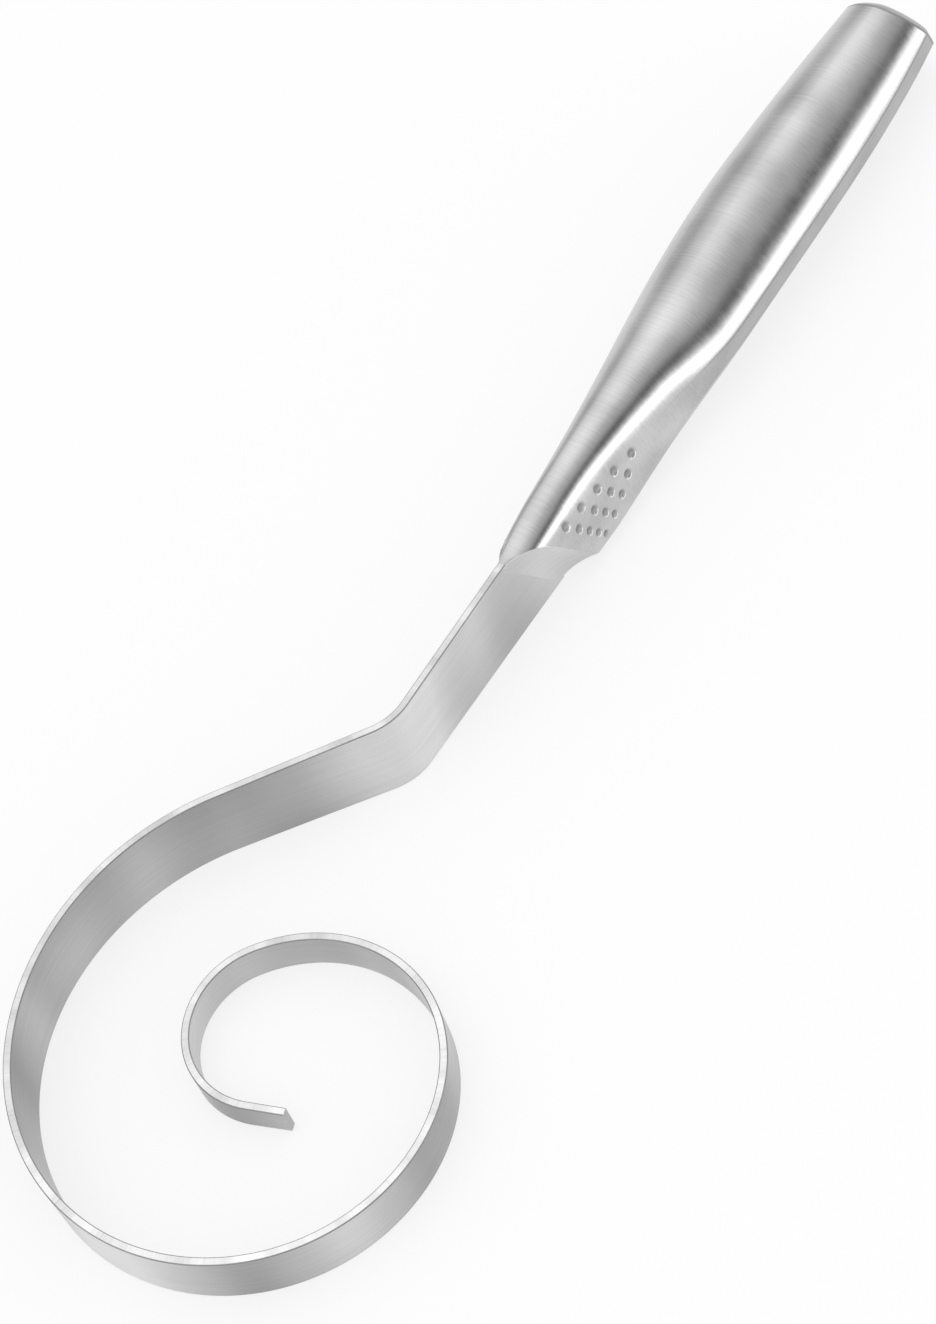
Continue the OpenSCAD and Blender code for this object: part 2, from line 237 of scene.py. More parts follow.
def handle_section(x, d):
    """The handle's section at x, drawn in by d all round."""
    blend = face_blend(x)
    r = min(edge_r(x), MAX_ROUND * (thumb_y(x) - outer_y(x)) / 2) - d
    return Section(
        thumb=thumb_y(x) - d, outer=outer_y(x) + d, half=half_h(x) - d,
        low=land(x) - FACE_INSET * d,
        high=mix(LAND_H / 2, FACE_UP, blend) - EDGE_REACH * LAND_EDGE - FACE_INSET * d,
        r=max(r, MIN_ROUND), power=mix(CREASE_POWER, FACE_POWER, blend), outer_power=OUTER_POWER,
        shift=crest_shift(x), drop=CREST_DROP * blend, tilt=face_share(x))


def fillet_section(q):
    """The nose's section at a share q of the way from the ridge to the mouth."""
    fall = (1 - q) * (1 - q)
    s = handle_section(RIDGE_X, 0)
    thumb = mix(LIP_Y, s.thumb, fall)
    outer = -mix(LIP_Y, -s.outer, fall)
    return Section(
        thumb=thumb, outer=outer, half=NOSE_Z,
        low=mix(s.low, NOSE_Z - MIN_ROUND, q), high=mix(s.high, NOSE_Z - MIN_ROUND, q),
        r=min(mix(s.r, MIN_ROUND, q), MAX_ROUND * (thumb - outer) / 2),
        power=mix(OUTER_POWER, s.power, fall), outer_power=mix(OUTER_POWER, MOUTH_POWER, q),
        shift=s.shift * fall, drop=s.drop * fall, tilt=s.tilt * fall)


# Points round a section: over the flat face, round its edges, and up to the top on either side
FACE_STEPS = 72
CORNER_STEPS = 8
THUMB_STEPS = 30
OUTER_STEPS = 34


def crown(top_y, base, wide, tall, r, n, share, rho):
    """From the face's edge to the top of a section, r outside |y / wide|^n + |z / tall|^n = 1.

    That curve is centred on top_y and base, and left at rho of its width, share of its height."""
    start = math.atan2(share ** (n / 2), rho ** (n / 2))
    points = []
    for i in range(1, THUMB_STEPS + 1):
        t = mix(start, math.pi / 2, i / THUMB_STEPS)
        y = 0.0 if i == THUMB_STEPS else math.cos(t) ** (2 / n)
        z = math.sin(t) ** (2 / n)
        ny = 0.0 if i == THUMB_STEPS else y ** (n - 1) / wide
        nz = z ** (n - 1) / tall
        q = r / math.hypot(ny, nz)
        points.append((top_y + wide * y + q * ny, base + tall * z + q * nz))
    return points


def corner(y, z, r, a0, a1):
    angles = [mix(a0, a1, i / CORNER_STEPS) for i in range(CORNER_STEPS + 1)]
    return [(y + r * math.cos(a), z + r * math.sin(a)) for a in angles]


def thumb_arc(s):
    """From the bottom seam to the top seam over the thumb side."""
    r, n, tall = s.r, s.power, s.half - s.r
    top_y = (s.thumb + s.outer) / 2 - s.shift
    reach = s.thumb - top_y - r
    low = min(s.low - EDGE_REACH * r, FACE_LIMIT * tall)
    high = min(s.high, FACE_LIMIT * tall - (1 - FACE_LIMIT) * s.drop)
    share = (high + s.drop) / (tall + s.drop)
    rho = (1 - share ** n) ** (1 / n)
    slope = (share / rho) ** (n - 1) / (tall + s.drop)
    wide = reach / (rho + s.tilt * slope * (high + low))
    face_angle = math.atan(s.tilt * wide * slope)
    upper = corner(top_y + wide * rho, high, r, face_angle, math.atan(wide * slope))
    upper += crown(top_y, -s.drop, wide, tall + s.drop, r, n, share, rho)
    share = low / tall
    rho = (1 - share ** n) ** (1 / n)
    wide = reach / rho
    lower_angle = math.atan(wide * (share / rho) ** (n - 1) / tall)
    lower = corner(top_y + reach, low, r, -face_angle, lower_angle)
    lower += crown(top_y, 0, wide, tall, r, n, share, rho)
    lower = [(y, -z) for y, z in reversed(lower)]
    (y0, z0), (y1, z1) = lower[-1], upper[0]
    shares = [i / FACE_STEPS for i in range(1, FACE_STEPS)]
    return lower + [(mix(y0, y1, t), mix(z0, z1, t)) for t in shares] + upper


def outer_arc(s):
    """From the top seam to the bottom seam over the outer side."""
    r, n, tall = s.r, s.outer_power, s.half - s.r
    top_y = (s.thumb + s.outer) / 2 - s.shift
    wide = top_y - s.outer - r
    quarter = []
    for i in range(OUTER_STEPS + 1):
        t = math.pi / 2 * i / OUTER_STEPS
        y = 0.0 if i == 0 else math.sin(t) ** (2 / n)
        z = 0.0 if i == OUTER_STEPS else math.cos(t) ** (2 / n)
        ny = 0.0 if i == 0 else -y ** (n - 1) / wide
        nz = 0.0 if i == OUTER_STEPS else z ** (n - 1) / tall
        q = r / math.hypot(ny, nz)
        quarter.append((top_y - wide * y + q * ny, tall * z + q * nz))
    return quarter + [(y, -z) for y, z in reversed(quarter[:-1])]


def full_ring(s):
    return thumb_arc(s) + outer_arc(s)[1:-1]


def place(arc, x, slant, sweep, middle, half):
    """An arc set at x, slanting forward with its height, and its top swept forward beyond that."""
    return np.array([(x + slant * z + sweep * (max(z, 0.0) / half) ** SWEEP_POWER, y, middle + z)
                     for y, z in arc])


def handle_place(arc, x):
    return place(arc, x, lean(x), NOSE_SWEEP * rest_blend(x), mid_z(x), half_h(x))


def fillet_place(q):
    return place(full_ring(fillet_section(q)), mix(RIDGE_X, MOUTH_FWD, q),
                 mix(RIDGE_LEAN, MOUTH_LEAN, q), mix(NOSE_SWEEP, 0, q), NOSE_Z, NOSE_Z)


# Keeps divisions by a length from failing where points fall together
TINY = 1e-15


def tangents(grid, closed):
    """Directions round the rings at each point, right also where the spacing changes."""
    ahead = np.roll(grid, -1, 1) - grid
    behind = np.roll(ahead, 1, 1)
    if not closed:
        ahead[:, -1] = ahead[:, -2]
        behind[:, 0] = ahead[:, 0]
    far = np.linalg.norm(ahead, axis=2, keepdims=True)
    back = np.linalg.norm(behind, axis=2, keepdims=True)
    return (ahead * back ** 2 + behind * far ** 2) / np.maximum(far * back * (far + back), TINY)


def grid_normals(grid, closed):
    """Smooth normals of a grid of points [rings, points round, 3], each ring closed or open."""
    along = np.gradient(grid, axis=0)
    normals = np.cross(tangents(grid, closed), along)
    return normals / np.maximum(np.linalg.norm(normals, axis=2, keepdims=True), TINY)


def grid_faces(rows, cols, start=0, closed=False, flip=False):
    """Quads between neighbouring rows of a grid."""
    faces = []
    for i in range(rows - 1):
        for k in range(cols if closed else cols - 1):
            a, b = start + i * cols + k, start + i * cols + (k + 1) % cols
            c, d = a + cols, b + cols
            faces.append((a, c, d, b) if flip else (a, b, d, c))
    return faces


# What the materials read from a mesh
GRAIN_LAYER = "grain"
SHADE_AND_DULL_MARKS = "shade_and_dull"


def make_piece(name, verts, faces, normals, smooth, along=None, shade_and_dull=None):
    """A mesh in metres from points in millimetres. Smooth faces take their points' normals.

    The layer for the brushed grain runs along the piece, which is X if nothing else is given, and
    up. The marks go from 0 for plain metal to 1 for darker, rougher metal: painted shade in the
    dimples and the crease, a darker land, and the dull weld line."""
    mesh = bpy.data.meshes.new(name)
    mesh.from_pydata([tuple(v) for v in np.asarray(verts) * MM], [], faces)
    mesh.update()
    custom = []
    for poly, soft in zip(mesh.polygons, smooth):
        poly.use_smooth = True
        for v in poly.vertices:
            custom.append(tuple(normals[v]) if soft else tuple(poly.normal))
    layer = mesh.uv_layers.new(name=GRAIN_LAYER)
    for loop in mesh.loops:
        v = loop.vertex_index
        run = verts[v][0] if along is None else along[v]
        layer.data[loop.index].uv = (run * MM, verts[v][2] * MM)
    if shade_and_dull is not None:
        mask = mesh.attributes.new(SHADE_AND_DULL_MARKS, "FLOAT", "POINT")
        mask.data.foreach_set("value", shade_and_dull)
    mesh.normals_split_custom_set(custom)
    obj = bpy.data.objects.new(name, mesh)
    bpy.context.scene.collection.objects.link(obj)
    return obj


# The flat land is darker and rougher than the rounded sides, and the sharp crease beside it gets
# a thin line of painted shade. Both fade out over the last stretch before CREASE_END, on the way
# to the nose
LAND_DARKENING = 0.42
CREASE_SHADE = 1.0
CREASE_END = -38.0
CREASE_FADE = 26.0
# The weld line of the butt cap is a dull line, darker and rougher
WELD_DULL = 0.8
# How steeply the painted shade in a dimple, with rougher metal, deepens from its rim inwards
DIMPLE_SHADE = 2.2

# The handle's rings: closer together where the thumb rest and its dimples are
REST_START = -34.0
REST_RINGS = 116
REAR_RINGS = 96


def handle_stations():
    rear = [mix(CAP_X, REST_START, i / REAR_RINGS) for i in range(REAR_RINGS)]
    return rear + [mix(REST_START, RIDGE_X, i / REST_RINGS) for i in range(REST_RINGS + 1)]


def dimple_centres():
    """Each dimple's x, height over the section's middle, and width."""
    lean_angle = math.radians(DIMPLE_LEAN)
    centres = []
    for row in range(DIMPLE_ROWS):
        behind = DIMPLE_ROWS - 1 - row
        x = RIDGE_X + RIDGE_LEAN * DIMPLE_TOP - DIMPLE_MARGIN - behind * ROW_PITCH
        for j in range(row + 1):
            run = DIMPLE_PITCH * (1 - GAP_SHARE ** j) / (1 - GAP_SHARE)
            centres.append((x - run * math.sin(lean_angle),
                            DIMPLE_TOP - behind * DIMPLE_RISE - run * math.cos(lean_angle),
                            DIMPLE_W * WIDTH_SHARE ** j))
    return centres


def press_dimples(grid, normals):
    """Pushes the grid's points into the thumb rest, all of a dimple's points in one direction.

    Also gives each point's painted shade, with rougher metal: 0 outside the dimples, up to 1
    inside them."""
    shade_and_dull = np.zeros(grid.shape[:2])
    for x, up, width in dimple_centres():
        side = np.array(thumb_arc(handle_section(x, 0)))
        centre = np.array([x, np.interp(up, side[:, 1], side[:, 0]), mid_z(x) + up])
        offset = grid - centre
        distance = np.linalg.norm(offset, axis=2)
        inward = -normals[distance < width / 2].sum(0)
        inward /= np.linalg.norm(inward)
        beside = offset - (offset @ inward)[..., None] * inward
        away = np.minimum(np.linalg.norm(beside, axis=2) / (width / 2), 1)
        away = np.where(distance < width, away, 1)
        depth = DIMPLE_D * width / DIMPLE_W * (1 - away ** 2) ** DIMPLE_POWER
        grid = grid + depth[..., None] * inward
        # Painted shade in the dimple, with rougher metal, deepening from its rim inwards
        shade_and_dull = np.maximum(shade_and_dull, np.minimum((1 - away) * DIMPLE_SHADE, 1))
    return grid, shade_and_dull


def add_darker_land_and_crease_shade(shade_and_dull, xs):
    """Adds the darker land and the painted shade of the crease above it to the thumb shell's
    marks, ring by ring.
    """
    face = CORNER_STEPS + THUMB_STEPS
    crease = face + FACE_STEPS
    for marks, x in zip(shade_and_dull, xs):
        rear = ease((CREASE_END - x) / CREASE_FADE)
        marks[face:crease] += LAND_DARKENING * rear
        # A thin line of painted shade along the crease
        marks[crease:crease + CORNER_STEPS + 1] += CREASE_SHADE * rear


def seam_normals(xs, thumb_side):
    """The normals that both shells share at their seams, for a shell's first and last edge."""
    rings = np.array([handle_place(full_ring(handle_section(x, 0)), x) for x in xs])
    normals = grid_normals(rings, True)
    top = len(thumb_arc(handle_section(xs[0], 0))) - 1
    bottom_seam, top_seam = normals[:, 0], normals[:, top]
    return (bottom_seam, top_seam) if thumb_side else (top_seam, bottom_seam)


def shell_piece(name, arc, dimples=False):
    """A pressed shell with its thickness, from the same sections as its solid."""
    xs = handle_stations()
    outside = np.array([handle_place(arc(handle_section(x, SKIN_IN)), x) for x in xs])
    inside = np.array([handle_place(arc(handle_section(x, SHELL_T)), x) for x in xs])
    normals = grid_normals(outside, False)
    normals[:, 0], normals[:, -1] = seam_normals(xs, arc is thumb_arc)
    shade_and_dull = np.zeros(outside.shape[:2])
    if dimples:
        outside, shade_and_dull = press_dimples(outside, normals)
        add_darker_land_and_crease_shade(shade_and_dull, xs)
        normals[:, 1:-1] = grid_normals(outside, False)[:, 1:-1]
    rows, cols = outside.shape[:2]
    far = rows * cols
    skin = grid_faces(rows, cols)
    lining = grid_faces(rows, cols, far, flip=True)
    edges = []
    for k in range(cols - 1):
        front = (rows - 1) * cols + k
        edges.append((k + 1, k, far + k, far + k + 1))
        edges.append((front, front + 1, far + front + 1, far + front))
    for i in range(rows - 1):
        a, b = i * cols, (i + 1) * cols
        edges.append((a, b, far + b, far + a))
        a, b = a + cols - 1, b + cols - 1
        edges.append((a, far + a, far + b, b))
    verts = np.vstack([outside.reshape(-1, 3), inside.reshape(-1, 3)])
    all_normals = np.vstack([normals.reshape(-1, 3), -normals.reshape(-1, 3)])
    smooth = [True] * (len(skin) + len(lining)) + [False] * len(edges)
    marks = list(shade_and_dull.ravel()) + [0.0] * far
    return make_piece(name, verts, skin + lining + edges, all_normals, smooth, shade_and_dull=marks)


def capped_loft(name, rings, normals, flat_rows=0, row_lengths=None, row_dull=None):
    """A closed loft through full rings, with a flat fan round a middle point at each end.

    The first rows of faces may be flat. Lengths along the piece and dull marks go by the ring."""
    rows, cols = rings.shape[:2]
    verts = list(rings.reshape(-1, 3)) + [rings[0].mean(0), rings[-1].mean(0)]
    faces = grid_faces(rows, cols, closed=True)
    smooth = [i >= flat_rows for i in range(rows - 1) for _ in range(cols)]
    middle, last = rows * cols, (rows - 1) * cols
    for k in range(cols):
        after = (k + 1) % cols
        faces.append((middle, after, k))
        faces.append((middle + 1, last + k, last + after))
        smooth += [False, False]
    all_normals = np.vstack([normals.reshape(-1, 3), [[-1, 0, 0], [1, 0, 0]]])
    along = shade_and_dull = None
    if row_lengths:
        along = [s for s in row_lengths for _ in range(cols)] + [row_lengths[0], row_lengths[-1]]
    if row_dull:
        shade_and_dull = [m for m in row_dull for _ in range(cols)] + [0.0, 0.0]
    return make_piece(name, verts, faces, all_normals, smooth, along, shade_and_dull)


CAP_STEPS = 14
FILLET_STEPS = 44


def butt_cap():
    """The welded cap: its rounded rim outside the shells, with the dull weld line in front."""
    turn = math.radians(RIM_TURN)
    stations = []
    for i in range(CAP_STEPS + 1):
        a = turn * i / CAP_STEPS
        stations.append((BUTT_X + RIM_R * (1 - math.cos(a)),
                         RIM_R * (math.sin(turn) - math.sin(a))))
    stations.append((CAP_X, 0.0))
    rings = np.array([handle_place(full_ring(handle_section(x, d + SKIN_IN)), x)
                      for x, d in stations])
    return capped_loft("butt_cap_skin", rings, grid_normals(rings, True),
                       row_dull=[0.0] * CAP_STEPS + [WELD_DULL] * 2)


def nose_block():
    """The nose: a flat ridge the shells' thickness wide, then the concave fillet onto the bar."""
    rings = [handle_place(full_ring(handle_section(RIDGE_X, SHELL_T)), RIDGE_X)]
    rings += [fillet_place(i / FILLET_STEPS) for i in range(FILLET_STEPS + 1)]
    rings = np.array(rings)
    return capped_loft("nose_skin", rings, grid_normals(rings, True), flat_rows=1)


# The bar's path: steps of (length, turn), as the solid has them but finer
TURN_STEP = 1.25
EDGE_STEPS = 3


def turns(r0, r1, angle):
    """Steps round a bend whose radius goes from r0 to r1."""
    n = math.ceil(abs(angle) / TURN_STEP)
    return [(mix(r0, r1, (i + 0.5) / n) * math.radians(abs(angle)) / n, angle / n)
            for i in range(n)]


def bar_path():
    """Places along the bar's middle line as (x, y, heading in radians, length so far)."""
    shoulder_x = mix(RIDGE_X, MOUTH_FWD, SHOULDER)
    moves = [(TAPER_X - shoulder_x, 0), (NECK_LEN - TAPER_X, 0)]
    moves += turns(BEND_R, BEND_R, -BEND_ANGLE)
    moves += [(SHANK_LEN, 0)]
    moves += turns(SCROLL_R, SCROLL_END_R, SCROLL_TURN)
    moves += turns(LOOP_R, LOOP_R, LOOP_TURN)
    moves += turns(CURL_R, CURL_R, CURL_TURN)
    moves += [(TIP_LEN, 0)]
    x, y, heading, length = shoulder_x, 0.0, 0.0, shoulder_x
    path = [(x, y, heading, length)]
    for step, turn in moves:
        turn = math.radians(turn)
        chord = step * math.sin(turn / 2) / (turn / 2) if turn else step
        x += chord * math.cos(heading + turn / 2)
        y += chord * math.sin(heading + turn / 2)
        heading += turn
        length += step
        path.append((x, y, heading, length))
    return path


def bar_width(length, end):
    return BAR_W if length <= TAPER_X else mix(BAR_W, TIP_W, (length - TAPER_X) / (end - TAPER_X))


def edge_rounds():
    """For each of the bar's four edges, the outward directions (y, z) round it."""
    rounds = []
    for start in (-90, 0, 90, 180):
        angles = [math.radians(start + 90 * i / EDGE_STEPS) for i in range(EDGE_STEPS + 1)]
        rounds.append([(math.cos(a), math.sin(a)) for a in angles])
    return rounds


def bar_section(w):
    """The bar's section as (y, z) points, its four edges broken by small rounds."""
    t, e = BAR_T / 2 - BAR_IN, BAR_EDGE
    centres = ((t - e, e), (t - e, w - e), (e - t, w - e), (e - t, e))
    return [(cy + e * ny, cz + e * nz)
            for (cy, cz), directions in zip(centres, edge_rounds()) for ny, nz in directions]


def scroll_blade():
    """The bar from its shoulder in the nose to its free tip, standing on its lower edge."""
    path = bar_path()
    end = path[-1][3]
    shoulder_lean = mix(RIDGE_LEAN, MOUTH_LEAN, SHOULDER)
    rings = []
    for i, (x, y, h, s) in enumerate(path):
        slant = shoulder_lean if i == 0 else 0.0
        rings.append([(x - q * math.sin(h) + slant * (z - NOSE_Z), y + q * math.cos(h), z)
                      for q, z in bar_section(bar_width(s, end))])
    directions = [n for edge in edge_rounds() for n in edge]
    normals = np.array([[(-ny * math.sin(h), ny * math.cos(h), nz) for ny, nz in directions]
                        for _, _, h, _ in path])
    return capped_loft("scroll_bar", np.array(rings), normals, row_lengths=[s for *_, s in path])


def new_material(name):
    mat = bpy.data.materials.new(name)
    mat.use_nodes = True
    tree = mat.node_tree
    tree.nodes.clear()
    out = tree.nodes.new("ShaderNodeOutputMaterial")
    bsdf = tree.nodes.new("ShaderNodeBsdfPrincipled")
    tree.links.new(bsdf.outputs["BSDF"], out.inputs["Surface"])
    return mat, tree, bsdf


def feed(tree, value, socket):
    """Gives a socket a number, or the value of another node's output."""
    if isinstance(value, (int, float)):
        socket.default_value = value
    else:
        tree.links.new(value, socket)


def calc(tree, operation, *values):
    node = tree.nodes.new("ShaderNodeMath")
    node.operation = operation
    for socket, value in zip(node.inputs, values):
        feed(tree, value, socket)
    return node.outputs["Value"]


def between(tree, share, a, b):
    """The number a where share is 0, and b where it is 1."""
    node = tree.nodes.new("ShaderNodeMix")
    node.data_type = "FLOAT"
    for index, value in ((0, share), (2, a), (3, b)):
        feed(tree, value, node.inputs[index])
    return node.outputs[0]


def remap(tree, value, before, after):
    """A value between the two numbers of before, taken to between those of after."""
    node = tree.nodes.new("ShaderNodeMapRange")
    node.inputs["From Min"].default_value, node.inputs["From Max"].default_value = before
    node.inputs["To Min"].default_value, node.inputs["To Max"].default_value = after
    tree.links.new(value, node.inputs["Value"])
    return node.outputs["Result"]


def noise(tree, scale, shift, detail, roughness):
    """Noise over the grain layer, scale cycles to the metre."""
    coords = tree.nodes.new("ShaderNodeTexCoord")
    stretch = tree.nodes.new("ShaderNodeMapping")
    stretch.inputs["Scale"].default_value = scale
    stretch.inputs["Location"].default_value = (shift, 0, 0)
    tree.links.new(coords.outputs["UV"], stretch.inputs["Vector"])
    texture = tree.nodes.new("ShaderNodeTexNoise")
    texture.inputs["Scale"].default_value = 1.0
    texture.inputs["Detail"].default_value = detail
    texture.inputs["Roughness"].default_value = roughness
    tree.links.new(stretch.outputs["Vector"], texture.inputs["Vector"])
    return texture.outputs["Fac"]


# The noises keep mostly to these ranges, which the tones and the roughness are spread over
SCRATCH_RANGE = (0.3, 0.7)
CLOUD_RANGE = (0.34, 0.66)
SUM_RANGE = (0.6, 1.4)
# How much the scratches darken and lighten the tone, and their depth in metres
STREAKS = (0.94, 1.06)
RELIEF_DEPTH = 0.00004

Steel = namedtuple("Steel", "mat tree bsdf tone gloss")


def brushed_steel(name, tone, rough, grain, bump, spread, uneven, cloud, shift=0.0):
    """Satin steel: fine scratches along one way, and wider soft unevenness in tone and gloss."""
    mat, tree, bsdf = new_material(name)
    bsdf.inputs["Metallic"].default_value = 1.0
    scratches = noise(tree, grain, 0.0, detail=4.0, roughness=0.65)
    clouds = noise(tree, cloud, shift, detail=1.5, roughness=0.5)
    both = calc(tree, "ADD", scratches, clouds)
    gloss = remap(tree, both, SUM_RANGE, (rough - spread, rough + spread))
    tree.links.new(gloss, bsdf.inputs["Roughness"])
    shade = remap(tree, clouds, CLOUD_RANGE, (tone * (1 - uneven), tone * (1 + uneven)))
    streaked = calc(tree, "MULTIPLY", shade, remap(tree, scratches, SCRATCH_RANGE, STREAKS))
    tree.links.new(streaked, bsdf.inputs["Base Color"])
    relief = tree.nodes.new("ShaderNodeBump")
    relief.inputs["Strength"].default_value = bump
    relief.inputs["Distance"].default_value = RELIEF_DEPTH
    tree.links.new(scratches, relief.inputs["Height"])
    tree.links.new(relief.outputs["Normal"], bsdf.inputs["Normal"])
    return Steel(mat, tree, bsdf, streaked, gloss)


STRETCH = 0.8
QUARTER_TURN = 0.25


def along_grain(steel):
    """Stretches the reflections across the brushed lines, which run along the bar."""
    tangent = steel.tree.nodes.new("ShaderNodeTangent")
    tangent.direction_type = "UV_MAP"
    tangent.uv_map = GRAIN_LAYER
    steel.tree.links.new(tangent.outputs["Tangent"], steel.bsdf.inputs["Tangent"])
    steel.bsdf.inputs["Anisotropic"].default_value = STRETCH
    steel.bsdf.inputs["Anisotropic Rotation"].default_value = QUARTER_TURN


# The marks take this tone and roughness: painted shade in the dimples and the crease, a darker
# land, and the dull weld line
SHADE_AND_DULL_TONE = 0.31
DULL_ROUGH = 0.48


def shade_and_dull_marks(steel):
    """Darker, rougher metal by the marks: painted shade in the dimples and the crease,
    also a darker land and the dull weld line.
    """
    mask = steel.tree.nodes.new("ShaderNodeAttribute")
    mask.attribute_name = SHADE_AND_DULL_MARKS
    for source, shade_and_dull, socket in ((steel.tone, SHADE_AND_DULL_TONE, "Base Color"),
                                 (steel.gloss, DULL_ROUGH, "Roughness")):
        marked = between(steel.tree, mask.outputs["Fac"], source, shade_and_dull)
        steel.tree.links.new(marked, steel.bsdf.inputs[socket])


def blend_to_bar(steel, end_share):
    """Takes the nose's tone over to the bar's on the way from the ridge to the mouth."""
    tree = steel.tree
    coords = tree.nodes.new("ShaderNodeTexCoord")
    split = tree.nodes.new("ShaderNodeSeparateXYZ")
    tree.links.new(coords.outputs["Object"], split.inputs["Vector"])
    upright = calc(tree, "MULTIPLY_ADD", split.outputs["Z"], -MOUTH_LEAN, split.outputs["X"])
    ends = [(x - MOUTH_LEAN * NOSE_Z) * MM for x in (RIDGE_X, MOUTH_FWD)]
    share = remap(tree, upright, ends, (1.0, end_share))
    toned = calc(tree, "MULTIPLY", steel.tone, share)
    tree.links.new(toned, steel.bsdf.inputs["Base Color"])


# Cycles of noise to the metre, along the piece and up
BAR_GRAIN = (40, 1300, 1)
BAR_CLOUD = (27, 10, 1)
BAR_SHIFT = 17.3
FINE_GRAIN = (1300, 1300, 1)
EDGE_CLOUD = (160, 160, 1)
SHELL_GRAIN = (2600, 420, 1)
EVEN_CLOUD = (75, 150, 1)

BAR_TONE = 0.54
NOSE_TONE = 0.60

bar_steel = brushed_steel("bar_steel", tone=BAR_TONE, rough=0.40, grain=BAR_GRAIN, bump=0.7,
                          spread=0.05, uneven=0.38, cloud=BAR_CLOUD, shift=BAR_SHIFT)
# Lit and shaded copies of the bar's steel: a painted highlight on its flat edges, painted shade on
# the rounds
highlit_edge_steel = brushed_steel("highlit_edge_steel", tone=0.66, rough=0.32, grain=FINE_GRAIN, bump=1.0,
                           spread=0.06, uneven=0.14, cloud=EDGE_CLOUD)
shaded_round_steel = brushed_steel("shaded_round_steel", tone=0.30, rough=0.40, grain=FINE_GRAIN, bump=0.3,
                            spread=0.06, uneven=0.10, cloud=EVEN_CLOUD)
shell_steel = brushed_steel("shell_steel", tone=0.54, rough=0.22, grain=SHELL_GRAIN, bump=0.55,
                            spread=0.06, uneven=0.09, cloud=EVEN_CLOUD)
nose_steel = brushed_steel("nose_steel", tone=NOSE_TONE, rough=0.40, grain=BAR_GRAIN, bump=0.7,
                           spread=0.05, uneven=0.38, cloud=BAR_CLOUD, shift=BAR_SHIFT)
cap_steel = brushed_steel("cap_steel", tone=0.38, rough=0.28, grain=SHELL_GRAIN, bump=0.55,
                          spread=0.05, uneven=0.08, cloud=EVEN_CLOUD)
along_grain(bar_steel)
along_grain(nose_steel)
blend_to_bar(nose_steel, BAR_TONE / NOSE_TONE)
shade_and_dull_marks(shell_steel)
shade_and_dull_marks(cap_steel)


def dress(piece, node, steel):
    piece.data.materials.append(steel.mat)
    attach(piece, "root")
    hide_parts(node)
    return piece


blade = dress(scroll_blade(), "scroll_blade", bar_steel)
dress(nose_block(), "nose_block", nose_steel)
dress(shell_piece("thumb_shell_skin", thumb_arc, dimples=True), "thumb_shell", shell_steel)
dress(shell_piece("outer_shell_skin", outer_arc), "outer_shell", shell_steel)
dress(butt_cap(), "butt_cap", cap_steel)

# The bar's upper and lower edges get a painted highlight, brighter than its sides, and the rounds
# between get painted shade, darker. Each is told by how far its faces turn upwards or downwards
EDGE_TURN = 0.98
ROUND_TURN = 0.2

blade.data.materials.append(highlit_edge_steel.mat)
blade.data.materials.append(shaded_round_steel.mat)
for poly in blade.data.polygons:
    upward = abs(poly.normal.z)
    poly.material_index = 1 if upward > EDGE_TURN else 2 if upward > ROUND_TURN else 0


# Floor: pale, lifted towards white for the camera and the metal, with the whisk's shadow kept
FLOOR_SIZE = 6.0
FLOOR_GAP = 0.00005
FLOOR_TONE = 0.96
FLOOR_ROUGH = 0.9
FLOOR_LIFT = 0.72


def pale_floor():
    mesh = bpy.data.meshes.new("floor")
    half = FLOOR_SIZE / 2
    low = cad_box[0][2] - FLOOR_GAP
    corners = [(-half, -half, low), (half, -half, low), (half, half, low), (-half, half, low)]
    mesh.from_pydata(corners, [], [(0, 1, 2, 3)])
    floor = bpy.data.objects.new("floor", mesh)
    bpy.context.scene.collection.objects.link(floor)
    mat, tree, bsdf = new_material("floor")
    bsdf.inputs["Base Color"].default_value = (FLOOR_TONE, FLOOR_TONE, FLOOR_TONE, 1)
    bsdf.inputs["Roughness"].default_value = FLOOR_ROUGH
    bsdf.inputs["Specular IOR Level"].default_value = 0.0
    glow = tree.nodes.new("ShaderNodeEmission")
    glow.inputs["Strength"].default_value = 1.0
    path = tree.nodes.new("ShaderNodeLightPath").outputs
    seen = calc(tree, "MAXIMUM", path["Is Camera Ray"], path["Is Glossy Ray"])
    mixer = tree.nodes.new("ShaderNodeMixShader")
    tree.links.new(calc(tree, "MULTIPLY", seen, FLOOR_LIFT), mixer.inputs["Fac"])
    tree.links.new(bsdf.outputs["BSDF"], mixer.inputs[1])
    tree.links.new(glow.outputs["Emission"], mixer.inputs[2])
    out = next(n for n in tree.nodes if n.type == "OUTPUT_MATERIAL")
    tree.links.new(mixer.outputs["Shader"], out.inputs["Surface"])
    floor.data.materials.append(mat)


# The studio as the metal sees it, as (angle, brightness), the same all along the handle. The
# angle goes from the thumb side's horizon at 0 over the top to the other horizon at 180: bright
# low down at the thumb side, a dark flag above it, then pale again. The values outside 0 to 180
# only steady the smooth curve's ends
STUDIO = (
    (-90, 0.88), (-10, 0.96), (17, 0.88), (25, 0.26), (31, 0.00), (38, 0.26), (47, 0.62),
    (62, 0.70), (78, 1.20), (96, 1.30), (112, 1.24), (126, 1.14), (144, 0.82), (154, 0.56),
    (166, 0.72), (182, 0.82), (196, 0.76), (270, 0.76))
RAMP_START = -90
RAMP_SPAN = 360
# What lights the floor and what the camera sees behind it
PLAIN_SKY = 0.90
CAMERA_SKY = 1.0


